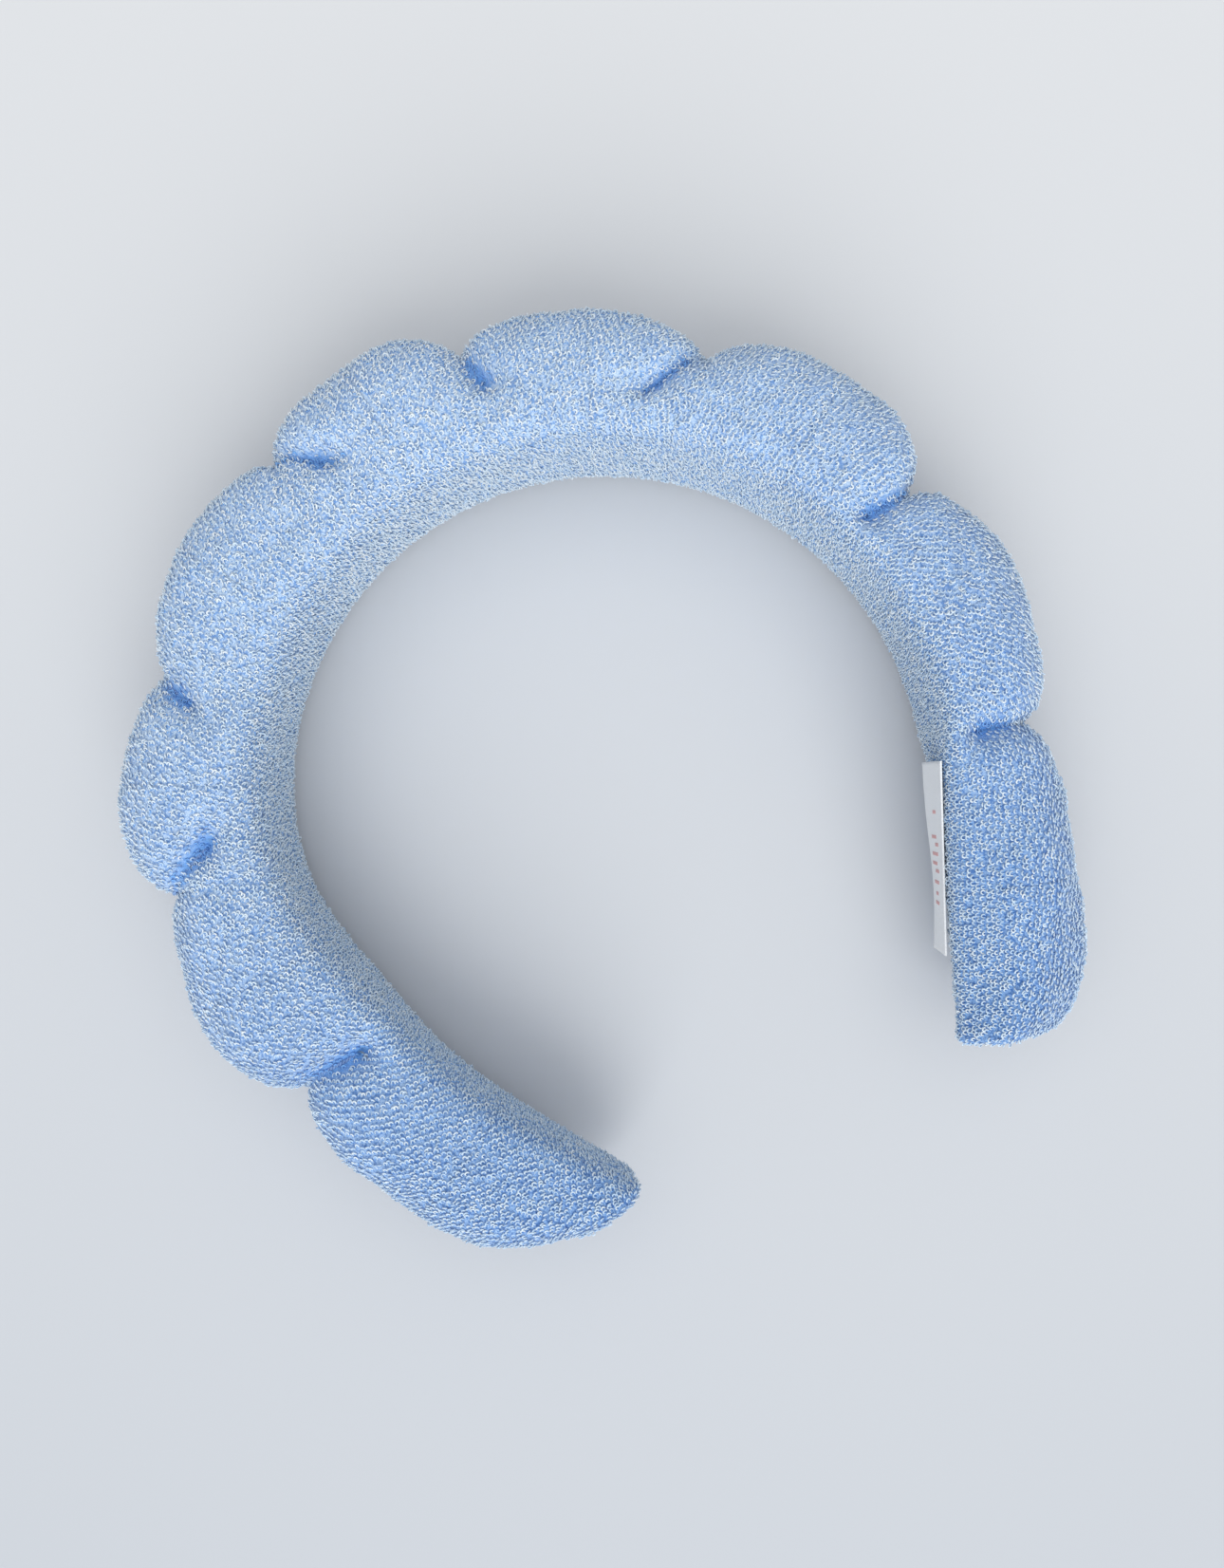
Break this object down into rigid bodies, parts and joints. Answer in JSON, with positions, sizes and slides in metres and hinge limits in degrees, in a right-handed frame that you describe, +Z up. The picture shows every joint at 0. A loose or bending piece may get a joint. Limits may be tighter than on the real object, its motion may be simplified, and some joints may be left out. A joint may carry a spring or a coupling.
{
  "type": "spa headband",
  "caption": "Padded terry-cloth spa headband: a springy open hoop inside a row of soft puffs tied off with thread, with a longer pad at each free end.",
  "frame": {"origin": "centre of the bounding box, on its lowest face: the headband lies on its side on a table", "axes": "+Z up, across the band's width; +Y towards the crown of the hoop, with the free ends towards -Y; +X towards the end that carries the care label"},
  "size_m": [0.1796, 0.1796, 0.0387],
  "materials": {
    "terry": "light blue looped terry cloth",
    "foam": "open-cell polyurethane sponge",
    "hoop_plastic": "satin moulded strip",
    "thread": "twisted polyester thread",
    "label": "white woven satin ribbon"
  },
  "bodies": {
    "left_tip": {"left_tip_hoop": "hoop_plastic", "left_tip_foam": "foam", "left_tip_liner": "terry", "left_tip_cover": "terry", "left_end_stitches": "thread"},
    "left_lower": {"left_lower_hoop": "hoop_plastic", "left_lower_foam": "foam", "left_lower_liner": "terry", "left_lower_cover": "terry", "left_tie_lowest": "thread"},
    "left_middle": {"left_middle_hoop": "hoop_plastic", "left_middle_foam": "foam", "left_middle_liner": "terry", "left_middle_cover": "terry", "left_tie_lower": "thread"},
    "left_upper": {"left_upper_hoop": "hoop_plastic", "left_upper_foam": "foam", "left_upper_liner": "terry", "left_upper_cover": "terry", "left_tie_upper": "thread"},
    "crown": {"crown_hoop": "hoop_plastic", "crown_foam": "foam", "crown_liner": "terry", "crown_cover": "terry", "left_tie_crown": "thread", "right_tie_crown": "thread"},
    "right_upper": {"right_upper_hoop": "hoop_plastic", "right_upper_foam": "foam", "right_upper_liner": "terry", "right_upper_cover": "terry", "right_tie_upper": "thread"},
    "right_middle": {"right_middle_hoop": "hoop_plastic", "right_middle_foam": "foam", "right_middle_liner": "terry", "right_middle_cover": "terry", "right_tie_lower": "thread"},
    "right_lower": {"right_lower_hoop": "hoop_plastic", "right_lower_foam": "foam", "right_lower_liner": "terry", "right_lower_cover": "terry", "right_tie_lowest": "thread"},
    "right_tip": {"right_tip_hoop": "hoop_plastic", "right_tip_foam": "foam", "right_tip_liner": "terry", "right_tip_cover": "terry", "care_label": "label", "right_end_stitches": "thread"}
  },
  "joints": [
    {"name": "left_flex_crown", "type": "hinge", "parent": "crown", "child": "left_upper", "pos_m": [-0.01784, 0.05801, 0.01937], "axis": [0, 0, -1], "range_deg": [-1.5, 5], "stiffness_Nm_per_rad": 2.2},
    {"name": "left_flex_upper", "type": "hinge", "parent": "left_upper", "child": "left_middle", "pos_m": [-0.04692, 0.04105, 0.01937], "axis": [0, 0, -1], "range_deg": [-1.41, 4.7]},
    {"name": "left_flex_lower", "type": "hinge", "parent": "left_middle", "child": "left_lower", "pos_m": [-0.06339, 0.01364, 0.01937], "axis": [0, 0, -1], "range_deg": [-1.08, 3.6]},
    {"name": "left_flex_lowest", "type": "hinge", "parent": "left_lower", "child": "left_tip", "pos_m": [-0.06432, -0.02168, 0.01937], "axis": [0, 0, -1], "range_deg": [-0.69, 2.3]},
    {"name": "right_flex_crown", "type": "hinge", "parent": "crown", "child": "right_upper", "pos_m": [0.01334, 0.05901, 0.01937], "axis": [0, 0, 1], "range_deg": [-1.5, 5], "stiffness_Nm_per_rad": 2.2},
    {"name": "right_flex_upper", "type": "hinge", "parent": "right_upper", "child": "right_middle", "pos_m": [0.04557, 0.04202, 0.01937], "axis": [0, 0, 1], "range_deg": [-1.41, 4.7]},
    {"name": "right_flex_lower", "type": "hinge", "parent": "right_middle", "child": "right_lower", "pos_m": [0.06396, 0.0103, 0.01937], "axis": [0, 0, 1], "range_deg": [-1.08, 3.6]},
    {"name": "right_flex_lowest", "type": "hinge", "parent": "right_lower", "child": "right_tip", "pos_m": [0.06153, -0.02938, 0.01937], "axis": [0, 0, 1], "range_deg": [-0.69, 2.3]}
  ],
  "couplings": [
    {"joint": "left_flex_upper", "follows": "left_flex_crown", "ratio": 0.94},
    {"joint": "left_flex_lower", "follows": "left_flex_crown", "ratio": 0.72},
    {"joint": "left_flex_lowest", "follows": "left_flex_crown", "ratio": 0.46},
    {"joint": "right_flex_upper", "follows": "right_flex_crown", "ratio": 0.94},
    {"joint": "right_flex_lower", "follows": "right_flex_crown", "ratio": 0.72},
    {"joint": "right_flex_lowest", "follows": "right_flex_crown", "ratio": 0.46}
  ]
}
